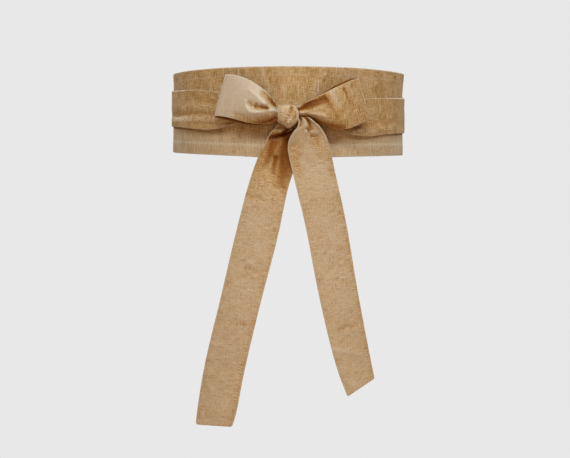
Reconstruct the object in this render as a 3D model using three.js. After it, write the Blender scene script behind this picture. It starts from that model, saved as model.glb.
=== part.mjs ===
// An obi belt, tied as it is worn: a wide shaped panel of silk round the waist, and two long ties
// that are sewn to its ends, cross at the back, come round the sides over the panel, and are tied
// in front in a bow with two loops and two hanging tails.
//
// Millimetres, +Z up, +X to the viewer's right, -Y to the front. The origin is the centre of the
// waist at half the panel's height. Every piece is a thin wall of cloth on a middle surface that
// is worked out from the sizes below. "out" is how far that surface stands off the figure.
import * as THREE from "three";

// ---- Driving dimensions ----
const WAIST_HALF_WIDTH = 127.8; // the figure at the belt, side to side, halved
const WAIST_HALF_DEPTH = 94; // the figure at the belt, front to back, halved
const PANEL_WALL = 2; // two layers of silk with interfacing between them
const TIE_WALL = 1.3; // a tube of silk, turned out and pressed flat
const KNOT_WALL = 2.4; // the tie gathered as it wraps the knot
const SEAM_GAP = 0.3; // between pieces that are sewn or pressed together
const TIE_CLEARANCE = 0.15; // a tie is slack, so it stands this little further off the panel
const PANEL_END = 155; // degrees from the middle of the front to each end of the panel
const SEAM_TURN = 0.2; // degrees between the panel's end and the tie that is sewn to it

const SILK = { panel: 0xc39c68, tie: 0xc8a473, knot: 0xcaa87a };

const RADIANS = Math.PI / 180;
const PANEL_OUT = PANEL_WALL / 2;
const ROOT_OUT = PANEL_OUT; // a tie starts in line with the panel's end, on the figure
const OVER_PANEL = PANEL_WALL + SEAM_GAP + TIE_WALL / 2 + TIE_CLEARANCE; // a tie on the panel

// ---- The figure that the belt hangs on: a plain waist and hips ----
const FIGURE = [
  { height: 70, halfWidth: WAIST_HALF_WIDTH, halfDepth: WAIST_HALF_DEPTH },
  { height: -45, halfWidth: WAIST_HALF_WIDTH, halfDepth: WAIST_HALF_DEPTH },
  { height: -100, halfWidth: 148, halfDepth: 101 },
  { height: -200, halfWidth: 167, halfDepth: 104 },
  { height: -350, halfWidth: 165, halfDepth: 100 },
];

// ---- The waist panel: a row every so many degrees from the middle of the front, left is minus ----
// flare is how far the top edge stands off the figure, from FLARE_FROM of the height up.
const PANEL = [
  { turn: -PANEL_END, top: 31, bottom: -31, flare: 0 },
  { turn: -130, top: 39, bottom: -37.5, flare: 0 },
  { turn: -90, top: 46.2, bottom: -41.8, flare: 0.2 },
  { turn: -68, top: 47.6, bottom: -43.7, flare: 0.3 },
  { turn: -30, top: 50.2, bottom: -47.6, flare: 0.2 },
  { turn: 0, top: 51, bottom: -50.4, flare: 0 },
  { turn: 30, top: 50.2, bottom: -48.8, flare: 0.2 },
  { turn: 68, top: 47.4, bottom: -46.4, flare: 1 },
  { turn: 90, top: 46.2, bottom: -45, flare: 1.6 },
  { turn: 130, top: 39, bottom: -38.5, flare: 0 },
  { turn: PANEL_END, top: 31, bottom: -31, flare: 0 },
];
const FLARE_FROM = 0.75;

// ---- The ties round the waist, from the seam at the panel's far end to the knot ----
// The left tie crosses outside the right one at the back. The two are gathered there, one below
// the other, where they change places between the figure and the outside of the panel. curl is
// how much further the lower edge stands off than the upper one.
const TIE_ROUND_LEFT = [
  { turn: 360 - PANEL_END - SEAM_TURN, top: 23, bottom: -23, out: ROOT_OUT, curl: 0 },
  { turn: 199, top: 6, bottom: -33, out: ROOT_OUT, curl: 0 },
  { turn: 197, top: -1.5, bottom: -37.5, out: ROOT_OUT, curl: 0 },
  { turn: 188, top: -1.5, bottom: -36, out: OVER_PANEL, curl: 0 },
  { turn: 180, top: 10, bottom: -29, out: OVER_PANEL, curl: 0 },
  { turn: 165, top: 23, bottom: -20, out: OVER_PANEL, curl: 0 },
  { turn: 140, top: 28.5, bottom: -15, out: OVER_PANEL, curl: 0 },
  { turn: 90, top: 27.3, bottom: -12.8, out: OVER_PANEL, curl: 0.2 },
  { turn: 68, top: 26.6, bottom: -14.8, out: OVER_PANEL, curl: 1 },
  { turn: 56, top: 26.8, bottom: -16.4, out: OVER_PANEL + 0.1, curl: 2.2 },
  { turn: 41, top: 25, bottom: -18.6, out: OVER_PANEL + 0.3, curl: 3.4 },
  { turn: 35, top: 23, bottom: -17.4, out: 3.6, curl: 3 },
  { turn: 29, top: 19.6, bottom: -14.8, out: 4, curl: 2 },
  { turn: 24, top: 16, bottom: -10.6, out: 4.2, curl: 1 },
  { turn: 10, top: 9, bottom: -7.6, out: 4.6, curl: 0 },
  { turn: 0.6, top: 6.5, bottom: -7, out: 4.8, curl: 0 },
];
const TIE_ROUND_RIGHT = [
  { turn: 360 - PANEL_END - SEAM_TURN, top: 23, bottom: -23, out: ROOT_OUT, curl: 0 },
  { turn: 195, top: 24, bottom: -20, out: ROOT_OUT, curl: 0 },
  { turn: 180, top: 29, bottom: -10, out: ROOT_OUT, curl: 0 },
  { turn: 172, top: 37, bottom: 1.5, out: ROOT_OUT, curl: 0 },
  { turn: 163, top: 38.5, bottom: 1.5, out: OVER_PANEL, curl: 0 },
  { turn: 155, top: 39, bottom: -4, out: OVER_PANEL, curl: 0 },
  { turn: 140, top: 36, bottom: -7, out: OVER_PANEL, curl: 0 },
  { turn: 115, top: 26, bottom: -15.5, out: OVER_PANEL, curl: 0 },
  { turn: 90, top: 19.3, bottom: -20, out: OVER_PANEL + 0.2, curl: 0 },
  { turn: 55, top: 17.4, bottom: -23.4, out: OVER_PANEL + 0.1, curl: 0.4 },
  { turn: 41, top: 16, bottom: -26.2, out: OVER_PANEL + 0.2, curl: 2 },
  { turn: 32, top: 13.6, bottom: -24.4, out: 3.8, curl: 3 },
  { turn: 27, top: 12, bottom: -20.5, out: 4, curl: 2.4 },
  { turn: 20, top: 10, bottom: -13.5, out: 4.2, curl: 1 },
  { turn: 10, top: 8, bottom: -9, out: 4.6, curl: 0 },
  { turn: 0.6, top: 6.5, bottom: -7, out: 4.8, curl: 0 },
];

// ---- The bow's loops: a row at each share of the way from the knot to the outer fold ----
// The top and bottom edges are in the front view; front and back are the two layers' "out", and
// slip is how far the back layer lies above the front one.
const LOOP_LEFT = [
  { at: 0, topX: -1.2, topZ: 3.4, bottomX: -1.2, bottomZ: -8, front: 18.8, back: 14.4, slip: 0 },
  { at: 0.13, topX: -12.2, topZ: 3.6, bottomX: -12.6, bottomZ: -8.4, front: 18.8, back: 13.8, slip: 0 },
  { at: 0.2, topX: -15, topZ: 10.8, bottomX: -18, bottomZ: -12, front: 21.8, back: 12, slip: 0 },
  { at: 0.3, topX: -20.5, topZ: 18.6, bottomX: -25, bottomZ: -13.4, front: 24.5, back: 10.4, slip: -0.6 },
  { at: 0.45, topX: -31, topZ: 27.6, bottomX: -37, bottomZ: -13, front: 25, back: 9.2, slip: -1.4 },
  { at: 0.6, topX: -41.5, topZ: 34.5, bottomX: -49, bottomZ: -10.7, front: 23.5, back: 9, slip: -2.4 },
  { at: 0.75, topX: -51.5, topZ: 38.8, bottomX: -60, bottomZ: -7.5, front: 21, back: 9.6, slip: -3 },
  { at: 0.9, topX: -62, topZ: 41.5, bottomX: -73, bottomZ: -4.6, front: 18.6, back: 11, slip: -2.4 },
  { at: 1, topX: -68.9, topZ: 41.9, bottomX: -81.2, bottomZ: -3.7, front: 17.6, back: 11.8, slip: -1.6 },
];
const LOOP_RIGHT = [
  { at: 0, topX: 1.2, topZ: 3.8, bottomX: 1.2, bottomZ: -2.6, front: 18.6, back: 14.4, slip: 0 },
  { at: 0.12, topX: 11.6, topZ: 4, bottomX: 12, bottomZ: -3, front: 18.8, back: 13.8, slip: 0 },
  { at: 0.2, topX: 17.6, topZ: 9.4, bottomX: 19, bottomZ: -6.6, front: 20, back: 12.2, slip: 0.3 },
  { at: 0.3, topX: 26, topZ: 14, bottomX: 28, bottomZ: -10, front: 21.8, back: 10, slip: 0.8 },
  { at: 0.45, topX: 38.5, topZ: 20.2, bottomX: 41, bottomZ: -15.5, front: 23, back: 8.6, slip: 1.4 },
  { at: 0.6, topX: 51.5, topZ: 27.5, bottomX: 54, bottomZ: -19.4, front: 22.6, back: 8.4, slip: 1.8 },
  { at: 0.75, topX: 62, topZ: 32.6, bottomX: 66, bottomZ: -18.2, front: 21.4, back: 9.2, slip: 1.8 },
  { at: 0.88, topX: 70.5, topZ: 36, bottomX: 78.5, bottomZ: -13.4, front: 19.6, back: 10.8, slip: 1.2 },
  { at: 1, topX: 77.5, topZ: 37.7, bottomX: 90.4, bottomZ: -7.8, front: 17.6, back: 12, slip: 0.6 },
];
const FOLD_SHARE = 0.04; // the part of a loop's length in which it turns back on itself
const NECK_PINCH = 0.8; // how nearly a loop's two layers meet along their edges at the knot
const FOLD_PINCH = 0.15; // the same at the outer fold

// ---- The tails: a row for each section from the knot down, from its left edge to its right ----
const TAIL_LEFT = [
  { at: 0, leftX: -8, leftZ: -8.8, rightX: 4.5, rightZ: -9.4, out: 5.9 },
  { at: 0.022, leftX: -13.8, leftZ: -15.6, rightX: 6.5, rightZ: -18, out: 6.4 },
  { at: 0.045, leftX: -19.2, leftZ: -22.6, rightX: 8, rightZ: -25.5, out: 7.8 },
  { at: 0.07, leftX: -23.4, leftZ: -29.4, rightX: 9, rightZ: -33.5, out: 8.6 },
  { at: 0.1, leftX: -27, leftZ: -37.2, rightX: 9.2, rightZ: -43, out: 8.6 },
  { at: 0.14, leftX: -32.6, leftZ: -48.2, rightX: 8, rightZ: -56, out: 7.6 },
  { at: 0.2, leftX: -41.5, leftZ: -72.5, rightX: 0, rightZ: -83.5, out: 5.2 },
  { at: 0.36, leftX: -55.8, leftZ: -125.3, rightX: -11.2, rightZ: -136, out: 2.6 },
  { at: 0.6, leftX: -74.5, leftZ: -204.5, rightX: -31.6, rightZ: -215, out: 1.8 },
  { at: 0.84, leftX: -93.2, leftZ: -283.7, rightX: -50, rightZ: -294, out: 2.2 },
  { at: 0.96, leftX: -99.8, leftZ: -323.3, rightX: -57.6, rightZ: -333, out: 3 },
  { at: 1, leftX: -102.5, leftZ: -345, rightX: -62, rightZ: -347, out: 3.4 },
];
const TAIL_RIGHT = [
  { at: 0, leftX: 6.4, leftZ: -10.2, rightX: 6.4, rightZ: -5.4, out: 17.4 },
  { at: 0.02, leftX: 11.8, leftZ: -10.2, rightX: 13, rightZ: -4.8, out: 18.6 },
  { at: 0.045, leftX: 9.6, leftZ: -17.4, rightX: 21.6, rightZ: -6, out: 21.4 },
  { at: 0.07, leftX: 5.2, leftZ: -22.6, rightX: 28, rightZ: -10.2, out: 21 },
  { at: 0.095, leftX: 1.9, leftZ: -28, rightX: 34.6, rightZ: -15.8, out: 19.2 },
  { at: 0.12, leftX: 0, leftZ: -33.8, rightX: 39.5, rightZ: -22.4, out: 17 },
  { at: 0.15, leftX: -0.6, leftZ: -40, rightX: 43.6, rightZ: -31, out: 15 },
  { at: 0.19, leftX: 1, leftZ: -50.5, rightX: 46.8, rightZ: -42.5, out: 13.4 },
  { at: 0.26, leftX: 6.3, leftZ: -72.5, rightX: 51.2, rightZ: -63.7, out: 10 },
  { at: 0.42, leftX: 19, leftZ: -125.3, rightX: 62.9, rightZ: -116.5, out: 4 },
  { at: 0.67, leftX: 34.4, leftZ: -204.5, rightX: 76.5, rightZ: -196, out: 2.2 },
  { at: 0.9, leftX: 54.2, leftZ: -283.7, rightX: 91, rightZ: -272, out: 2.2 },
  { at: 1, leftX: 65.4, leftZ: -313.7, rightX: 95.5, rightZ: -294, out: 2.8 },
];

// ---- The knot: the tie wrapped once round the necks, a row for each upright section ----
const KNOT = [
  { at: 0, x: -11.4, top: 7.8, bottom: -11.8, back: 7.8, front: 23.2 },
  { at: 0.3, x: -5, top: 8.2, bottom: -14.4, back: 7, front: 25 },
  { at: 0.65, x: 3, top: 8.8, bottom: -18.4, back: 7, front: 25.4 },
  { at: 1, x: 11.6, top: 7.2, bottom: -13.6, back: 7.8, front: 23.6 },
];
const KNOT_RIM_CURVE = 3.4; // the right-hand rim curves back by this much at its top and bottom
const KNOT_SQUARENESS = 0.72; // 1 is an ellipse in section, and less is squarer

// ---- Pleats: troughs that run out from the knot, each from one (along, across) to another ----
// depth is in millimetres, and width is a share of the cloth's own width.
const LOOP_LENGTHS = 1.7; // a loop is so many times as long as it is wide
const TAIL_LENGTHS = 7.4; // and a tail
const PLEATS = {
  loopLeft: [
    { along: 0.12, across: 0.3, toAlong: 0.36, toAcross: 0.12, depth: 4, width: 0.1 },
    { along: 0.14, across: 0.52, toAlong: 0.56, toAcross: 0.6, depth: 5, width: 0.15 },
  ],
  loopRight: [
    { along: 0.12, across: 0.35, toAlong: 0.4, toAcross: 0.25, depth: 4.4, width: 0.17 },
    { along: 0.14, across: 0.9, toAlong: 0.3, toAcross: 0.8, depth: 1.6, width: 0.1 },
    { along: 0.5, across: 0.1, toAlong: 0.58, toAcross: 0.8, depth: 1.2, width: 0.12 },
  ],
  tailLeft: [{ along: 0.06, across: 0, toAlong: 0.03, toAcross: 0.95, depth: 2.4, width: 0.14 }],
  tailRight: [
    { along: 0.03, across: 0.3, toAlong: 0.1, toAcross: 0.36, depth: 2.4, width: 0.11 },
    { along: 0.03, across: 0.72, toAlong: 0.13, toAcross: 0.62, depth: 2.6, width: 0.11 },
  ],
};

// ---- Helpers ----
const mix = (a, b, share) => a + (b - a) * share;
const clamp = (value, low, high) => Math.min(high, Math.max(low, value));
const ease = (share) => share * share * (3 - 2 * share);
const squared = (wave) => Math.sign(wave) * Math.abs(wave) ** KNOT_SQUARENESS;

/** A smooth curve through one column of a table, read by its key column, that never overshoots. */
function column(table, key, name) {
  const rows = [...table].sort((a, b) => a[key] - b[key]);
  const steps = rows.slice(1).map((row, i) => row[key] - rows[i][key]);
  const rises = rows.slice(1).map((row, i) => (row[name] - rows[i][name]) / steps[i]);
  const slopes = rows.map((_, i) => {
    if (i === 0) return rises[0];
    if (i === rows.length - 1) return rises[i - 1];
    if (rises[i - 1] * rises[i] <= 0) return 0;
    const before = 2 * steps[i] + steps[i - 1];
    const after = steps[i] + 2 * steps[i - 1];
    return (before + after) / (before / rises[i - 1] + after / rises[i]);
  });
  return (value) => {
    const at = clamp(value, rows[0][key], rows.at(-1)[key]);
    const i = Math.min(
      rows.length - 2,
      Math.max(0, rows.findIndex((row) => row[key] > at) - 1),
    );
    const last = at >= rows.at(-1)[key] ? rows.length - 2 : i;
    const step = steps[last];
    const t = (at - rows[last][key]) / step;
    const low = rows[last][name];
    const high = rows[last + 1][name];
    return (
      low * (1 + 2 * t) * (1 - t) ** 2 +
      slopes[last] * step * t * (1 - t) ** 2 +
      high * t * t * (3 - 2 * t) +
      slopes[last + 1] * step * t * t * (t - 1)
    );
  };
}

/** Every named column of a table as a smooth curve. */
function curves(table, key) {
  const names = Object.keys(table[0]).filter((name) => name !== key);
  return Object.fromEntries(names.map((name) => [name, column(table, key, name)]));
}

const figure = curves(FIGURE, "height");

/** The point in front of the figure at x and z in the front view, standing off by out. */
function onFront(x, z, out) {
  const halfWidth = figure.halfWidth(z) + out;
  const halfDepth = figure.halfDepth(z) + out;
  return new THREE.Vector3(x, -halfDepth * Math.sqrt(Math.max(0, 1 - (x / halfWidth) ** 2)), z);
}

/** The point round the waist at so many degrees from the front, positive to the right. */
function aroundWaist(degrees, z, out) {
  const angle = degrees * RADIANS;
  return new THREE.Vector3(
    (WAIST_HALF_WIDTH + out) * Math.sin(angle),
    -(WAIST_HALF_DEPTH + out) * Math.cos(angle),
    z,
  );
}

/** How far pleats press the cloth in at (along, across), on cloth so many times as long as wide. */
function pleated(pleats, along, across, lengths) {
  let sum = 0;
  for (const pleat of pleats) {
    const runAlong = (pleat.toAlong - pleat.along) * lengths;
    const runAcross = pleat.toAcross - pleat.across;
    const fromStart = (along - pleat.along) * lengths;
    const share =
      (fromStart * runAlong + (across - pleat.across) * runAcross) /
      (runAlong ** 2 + runAcross ** 2);
    const near = clamp(share, 0, 1);
    const away = Math.hypot(fromStart - near * runAlong, across - pleat.across - near * runAcross);
    sum += pleat.depth * (1 - 0.8 * near) * Math.exp(-((away / pleat.width) ** 2));
  }
  return sum;
}

/**
 * A closed wall of cloth of the given thickness on the middle surface at(u, v), with u along the
 * cloth and v across it, both from 0 to 1. A looped wall joins its end to its start.
 */
function clothWall(at, thickness, alongSteps, acrossSteps, looped = false) {
  const rows = looped ? alongSteps : alongSteps + 1;
  const perRow = acrossSteps + 1;
  const tiny = 1e-3;
  const positions = [];
  const half = thickness / 2;
  for (const side of [1, -1])
    for (let i = 0; i < rows; i++)
      for (let j = 0; j < perRow; j++) {
        const u = i / alongSteps;
        const v = j / acrossSteps;
        const before = looped ? u - tiny : Math.max(0, u - tiny);
        const after = looped ? u + tiny : Math.min(1, u + tiny);
        const alongWay = at(after, v).sub(at(before, v));
        const acrossWay = at(u, Math.min(1, v + tiny)).sub(at(u, Math.max(0, v - tiny)));
        const normal = alongWay.cross(acrossWay).normalize();
        positions.push(...at(u, v).addScaledVector(normal, side * half));
      }
  const skin = rows * perRow;
  const index = [];
  const quad = (a, b, c, d) => index.push(a, b, c, a, c, d);
  for (let i = 0; i < alongSteps; i++) {
    const here = i * perRow;
    const next = ((i + 1) % rows) * perRow;
    for (let j = 0; j < acrossSteps; j++) {
      quad(here + j, next + j, next + j + 1, here + j + 1);
      quad(skin + here + j, skin + here + j + 1, skin + next + j + 1, skin + next + j);
    }
    const far = acrossSteps;
    quad(here, skin + here, skin + next, next);
    quad(here + far, next + far, skin + next + far, skin + here + far);
  }
  if (!looped) {
    const end = (rows - 1) * perRow;
    for (let j = 0; j < acrossSteps; j++) {
      quad(j, j + 1, skin + j + 1, skin + j);
      quad(end + j, skin + end + j, skin + end + j + 1, end + j + 1);
    }
  }
  const geometry = new THREE.BufferGeometry();
  geometry.setAttribute("position", new THREE.Float32BufferAttribute(positions, 3));
  geometry.setIndex(index);
  geometry.computeVertexNormals();
  return geometry;
}

// ---- The pieces ----

/** The wide panel: one strip round the waist, tapered to its two ends at the back. */
function waistPanel() {
  const edge = curves(PANEL, "turn");
  const at = (u, v) => {
    const turn = mix(-PANEL_END, PANEL_END, u);
    const height = mix(edge.bottom(turn), edge.top(turn), v);
    const flare = edge.flare(turn) * clamp((v - FLARE_FROM) / (1 - FLARE_FROM), 0, 1);
    return aroundWaist(turn, height, PANEL_OUT + flare);
  };
  return clothWall(at, PANEL_WALL, 62, 4);
}

/** A tie from its seam at the panel's far end, round the back and one side, to the knot. */
function tieRound(table, side) {
  const edge = curves(table, "turn");
  const turns = table.map((row) => row.turn);
  const first = Math.max(...turns);
  const last = Math.min(...turns);
  const gathered = 30; // degrees from the front at which the pleats at the knot begin
  const pleat = 1.2; // their height
  const at = (u, v) => {
    const turn = mix(first, last, u);
    const lower = side > 0 ? v : 1 - v;
    const wave = pleat * ease(clamp(1 - turn / gathered, 0, 1)) * Math.sin(4 * Math.PI * lower);
    const out = edge.out(turn) + wave + edge.curl(turn) * lower ** 2;
    return aroundWaist(side * turn, mix(edge.top(turn), edge.bottom(turn), lower), out);
  };
  return clothWall(at, TIE_WALL, 56, 6);
}

/** One loop of the bow: out from the knot in front, round the outer fold, and back behind. */
function bowLoop(table, pleats, side) {
  const edge = curves(table, "at");
  const turnBack = 0.08; // half the share of the steps that goes round the fold
  const at = (u, v) => {
    const lower = side > 0 ? v : 1 - v;
    let share;
    let layer;
    if (u < 0.5 - turnBack) {
      share = (u / (0.5 - turnBack)) * (1 - FOLD_SHARE);
      layer = 1;
    } else if (u > 0.5 + turnBack) {
      share = ((1 - u) / (0.5 - turnBack)) * (1 - FOLD_SHARE);
      layer = -1;
    } else {
      const angle = ((u - 0.5 + turnBack) / (2 * turnBack)) * Math.PI;
      share = 1 - FOLD_SHARE + FOLD_SHARE * Math.sin(angle);
      layer = Math.cos(angle);
    }
    const middle = (edge.front(share) + edge.back(share)) / 2;
    const pinch = mix(NECK_PINCH, FOLD_PINCH, share) * (2 * lower - 1) ** 2;
    const half = ((edge.front(share) - edge.back(share)) / 2) * (1 - pinch);
    const press = layer > 0 ? layer * pleated(pleats, share, lower, LOOP_LENGTHS) : 0;
    const x = mix(edge.topX(share), edge.bottomX(share), lower);
    const z = mix(edge.topZ(share), edge.bottomZ(share), lower);
    const slip = (edge.slip(share) * (1 - layer)) / 2;
    return onFront(x, z + slip, middle + layer * half - press);
  };
  return clothWall(at, TIE_WALL, 36, 8);
}

/** One hanging tail, from the knot down the front of the figure. */
function tail(table, pleats) {
  const edge = curves(table, "at");
  const at = (u, v) => {
    const along = u ** 1.5;
    const x = mix(edge.rightX(along), edge.leftX(along), v);
    const z = mix(edge.rightZ(along), edge.leftZ(along), v);
    return onFront(x, z, edge.out(along) - pleated(pleats, along, 1 - v, TAIL_LENGTHS));
  };
  return clothWall(at, TIE_WALL, 26, 8);
}

/** The knot's wrap: a short gathered barrel of cloth, open at both sides for the necks. */
function knotWrap() {
  const edge = curves(KNOT, "at");
  const at = (u, v) => {
    const angle = 2 * Math.PI * u;
    const up = squared(Math.sin(angle));
    const forward = squared(Math.cos(angle));
    const rim = KNOT_RIM_CURVE * up * up * ease(v);
    const half = KNOT_WALL / 2;
    const z = mix(edge.bottom(v) + half, edge.top(v) - half, (1 + up) / 2);
    const out = mix(edge.back(v) + half, edge.front(v) - half, (1 + forward) / 2);
    return onFront(edge.x(v) - rim, z, out);
  };
  return clothWall(at, KNOT_WALL, 20, 6, true);
}

// ---- The belt ----
const belt = new THREE.Group();
belt.name = "obi_belt";

function sew(name, geometry, color, roughness) {
  const cloth = new THREE.MeshStandardMaterial({ color, roughness, metalness: 0 });
  const mesh = new THREE.Mesh(geometry, cloth);
  mesh.name = name;
  belt.add(mesh);
}

sew("waist_panel", waistPanel(), SILK.panel, 0.72);
sew("tie_round_left", tieRound(TIE_ROUND_LEFT, -1), SILK.tie, 0.68);
sew("tie_round_right", tieRound(TIE_ROUND_RIGHT, 1), SILK.tie, 0.68);
sew("bow_loop_left", bowLoop(LOOP_LEFT, PLEATS.loopLeft, -1), SILK.tie, 0.66);
sew("bow_loop_right", bowLoop(LOOP_RIGHT, PLEATS.loopRight, 1), SILK.tie, 0.66);
sew("tail_left", tail(TAIL_LEFT, PLEATS.tailLeft), SILK.tie, 0.68);
sew("tail_right", tail(TAIL_RIGHT, PLEATS.tailRight), SILK.tie, 0.68);
sew("knot_wrap", knotWrap(), SILK.knot, 0.66);

export default belt;
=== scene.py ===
# %% [markdown]
# # An obi belt, tied in a bow
# An obi belt is a wide shaped panel of cloth that is wrapped round the waist and held by two long
# ties. The ties are sewn to the panel's two ends, cross behind, come round to the front and are
# tied in a bow over the middle. This lesson dresses a plain model of such a belt, loaded below as
# a frame, in slubbed silk: every stretch of cloth becomes a fine double-skinned sheet with turned
# edges, and its folds are pressed into it.

# %% Load the frame
import bpy
import numpy as np
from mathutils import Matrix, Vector


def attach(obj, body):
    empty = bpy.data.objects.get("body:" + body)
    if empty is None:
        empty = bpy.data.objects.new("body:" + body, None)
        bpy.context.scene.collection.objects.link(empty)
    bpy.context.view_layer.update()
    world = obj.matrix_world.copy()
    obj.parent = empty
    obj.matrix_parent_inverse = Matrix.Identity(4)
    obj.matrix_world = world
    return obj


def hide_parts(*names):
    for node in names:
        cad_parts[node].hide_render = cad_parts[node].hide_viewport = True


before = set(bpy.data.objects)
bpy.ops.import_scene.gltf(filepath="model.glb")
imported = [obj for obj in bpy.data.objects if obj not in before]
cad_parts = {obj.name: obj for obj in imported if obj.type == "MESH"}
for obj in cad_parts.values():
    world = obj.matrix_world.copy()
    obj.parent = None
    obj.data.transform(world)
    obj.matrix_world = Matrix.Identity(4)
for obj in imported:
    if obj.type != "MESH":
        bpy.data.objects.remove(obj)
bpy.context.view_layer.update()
print("pieces of the frame:", sorted(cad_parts))

# %% [markdown]
# ## Sizes
# A tailor works in millimetres, so this lesson does too, and turns them into Blender's metres at
# the last moment. A cloth belt takes its shape from the body, and here that is a general figure:
# an oval waist, and hips that widen below it.

# %% The main sizes, in millimetres
MM = 0.001
WAIST_HALF_WIDTH = 127.8
WAIST_HALF_DEPTH = 94.0
PANEL_WALL = 2.0
TIE_WALL = 1.3
KNOT_WALL = 2.4
TIE_WIDTH = 46.0
PANEL_END = 155.0  # degrees from the middle of the front to the panel's ends
SEAM_GAP = 0.3  # between pieces that are sewn or pressed together
TIE_CLEARANCE = 0.15  # what a tie keeps from the panel besides, for the panel's unevenness
# How far the middle of the cloth lies off the figure, on its own and over the panel.
ON_FIGURE = PANEL_WALL / 2
ON_PANEL = PANEL_WALL + SEAM_GAP + TIE_WALL / 2 + TIE_CLEARANCE
waist_round = 2 * np.pi * np.sqrt((WAIST_HALF_WIDTH**2 + WAIST_HALF_DEPTH**2) / 2)
print(f"the waist is {waist_round:.0f} mm round, and a tie lies {ON_PANEL:.2f} mm off it")

# %% [markdown]
# ## Tables that become smooth curves
# A pattern cutter marks a few widths along a strip and draws a fair curve through them. The same
# is done here: each table has a row for every mark, and `smooth` reads a column of it as a curve
# that passes through the marks and never bulges past them, which a plain spline would do.

# %% Reading a table as smooth curves
def smooth(keys, values):
    """A curve through the marks that never overshoots them (Fritsch and Carlson's slopes)."""
    keys, values = np.asarray(keys, float), np.asarray(values, float)
    steps = np.diff(keys)
    rises = np.diff(values) / steps
    slopes = np.zeros(len(keys))
    slopes[0], slopes[-1] = rises[0], rises[-1]
    for i in range(1, len(keys) - 1):
        if rises[i - 1] * rises[i] > 0:
            before = 2 * steps[i] + steps[i - 1]
            after = steps[i] + 2 * steps[i - 1]
            slopes[i] = (before + after) / (before / rises[i - 1] + after / rises[i])

    def curve(at):
        at = np.clip(at, keys[0], keys[-1])
        i = np.clip(np.searchsorted(keys, at, side="right") - 1, 0, len(steps) - 1)
        t = (at - keys[i]) / steps[i]
        low = values[i] * (1 + 2 * t) * (1 - t) ** 2 + slopes[i] * steps[i] * t * (1 - t) ** 2
        high = values[i + 1] * t**2 * (3 - 2 * t) + slopes[i + 1] * steps[i] * t**2 * (t - 1)
        return low + high

    return curve


def curves(columns, rows):
    """The columns of a table, by name, as curves of its first column."""
    names = columns.split()
    table = np.array(sorted(rows), float)
    return {name: smooth(table[:, 0], table[:, k]) for k, name in enumerate(names) if k}


def ease(share):
    """The share, from 0 to 1, with a soft start and a soft end."""
    share = np.clip(share, 0, 1)
    return share * share * (3 - 2 * share)


def mix(a, b, share):
    """What lies between a and b, so far along as share says."""
    return a + (b - a) * share


# %% [markdown]
# ## The figure inside
# All of the belt is placed against the figure that wears it: a point of the cloth has a place in
# the front view, or round the waist, and a distance off the figure. The figure could be built as
# a mesh and the cloth shrunk onto it, but ovals from a short table are exact and need no mesh.

# %% The figure, and places on it
FIGURE = curves(
    "height half_width half_depth",
    [
        (70, WAIST_HALF_WIDTH, WAIST_HALF_DEPTH),
        (-45, WAIST_HALF_WIDTH, WAIST_HALF_DEPTH),
        (-100, 148, 101),
        (-200, 167, 104),
        (-350, 165, 100),
    ],
)


def on_front(x, z, out):
    """The points in front of the figure at x and z in the front view, standing off it by out."""
    half_width = FIGURE["half_width"](z) + out
    half_depth = FIGURE["half_depth"](z) + out
    y = -half_depth * np.sqrt(np.maximum(0, 1 - (x / half_width) ** 2))
    return np.stack(np.broadcast_arrays(x, y, z), axis=-1)


def around_waist(degrees, z, out):
    """The points round the waist, so many degrees from the front, positive to the right."""
    angle = np.radians(degrees)
    x = (WAIST_HALF_WIDTH + out) * np.sin(angle)
    y = -(WAIST_HALF_DEPTH + out) * np.cos(angle)
    return np.stack(np.broadcast_arrays(x, y, z), axis=-1)


print("the front, 200 mm below the waist, is at", on_front(0, -200, 0).round(1))

# %% [markdown]
# ## Creases and soft unevenness
# Cloth that is gathered, tied or sat in creases along lines. A crease could be painted into a
# bump map, but then its outline stays smooth from the side, so here it moves the surface. Each
# one is a row: how deep it is, how wide, and the points it runs through, from its deep end to
# its shallow one. A negative depth is a ridge. Under the creases lies a gentle unevenness, a sum
# of long waves whose directions are drawn from a seeded generator, so that it comes out the same
# each time.

# %% Creases and waves
TROUGH_FLATNESS, RIDGE_FLATNESS = 2.0, 1.4  # troughs have a broad bottom, ridges a narrow top
CREASE_FADES = 0.6  # the share of its depth that a crease has lost at its shallow end
WAVES = 14


def creased(creases, x, y):
    """How far the creases press the cloth in at the points (x, y)."""
    pressed = np.zeros(np.broadcast(x, y).shape)
    for depth, width, *route in creases:
        stops = len(route) - 1
        nearest = np.full(pressed.shape, np.inf)
        fading = np.ones(pressed.shape)
        for i, ((x0, y0), (x1, y1)) in enumerate(zip(route, route[1:])):
            run_x, run_y = x1 - x0, y1 - y0
            reach = ((x - x0) * run_x + (y - y0) * run_y) / (run_x**2 + run_y**2)
            near = np.clip(reach, 0, 1)
            away = np.hypot(x - x0 - near * run_x, y - y0 - near * run_y)
            closer = away < nearest
            nearest = np.where(closer, away, nearest)
            fading = np.where(closer, 1 - CREASE_FADES * (i + near) / stops, fading)
        flatness = TROUGH_FLATNESS if depth > 0 else RIDGE_FLATNESS
        pressed += depth * fading * np.exp(-((nearest / width) ** flatness))
    return pressed


def uneven(seed, along, across, height, shortest, longest, lean=1.0):
    """A gentle unevenness. lean over 1 stretches its waves across the cloth, under 1 along it."""
    draw = np.random.default_rng(seed)
    total = np.zeros(np.broadcast(along, across).shape)
    for _ in range(WAVES):
        length = draw.uniform(shortest, longest)
        turn = draw.uniform(0, 2 * np.pi)
        phase = draw.uniform(0, 2 * np.pi)
        way = along * np.cos(turn) + across * np.sin(turn) / lean
        total += np.sin(2 * np.pi * way / length + phase) * length / longest
    return height * total / np.sqrt(WAVES / 2)


trial_crease = [(1.0, 3.0, (0, 0), (20, 0))]
print("a crease 1 mm deep, along its route:", creased(trial_crease, np.array([0, 10, 20]), 0).round(2))
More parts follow.
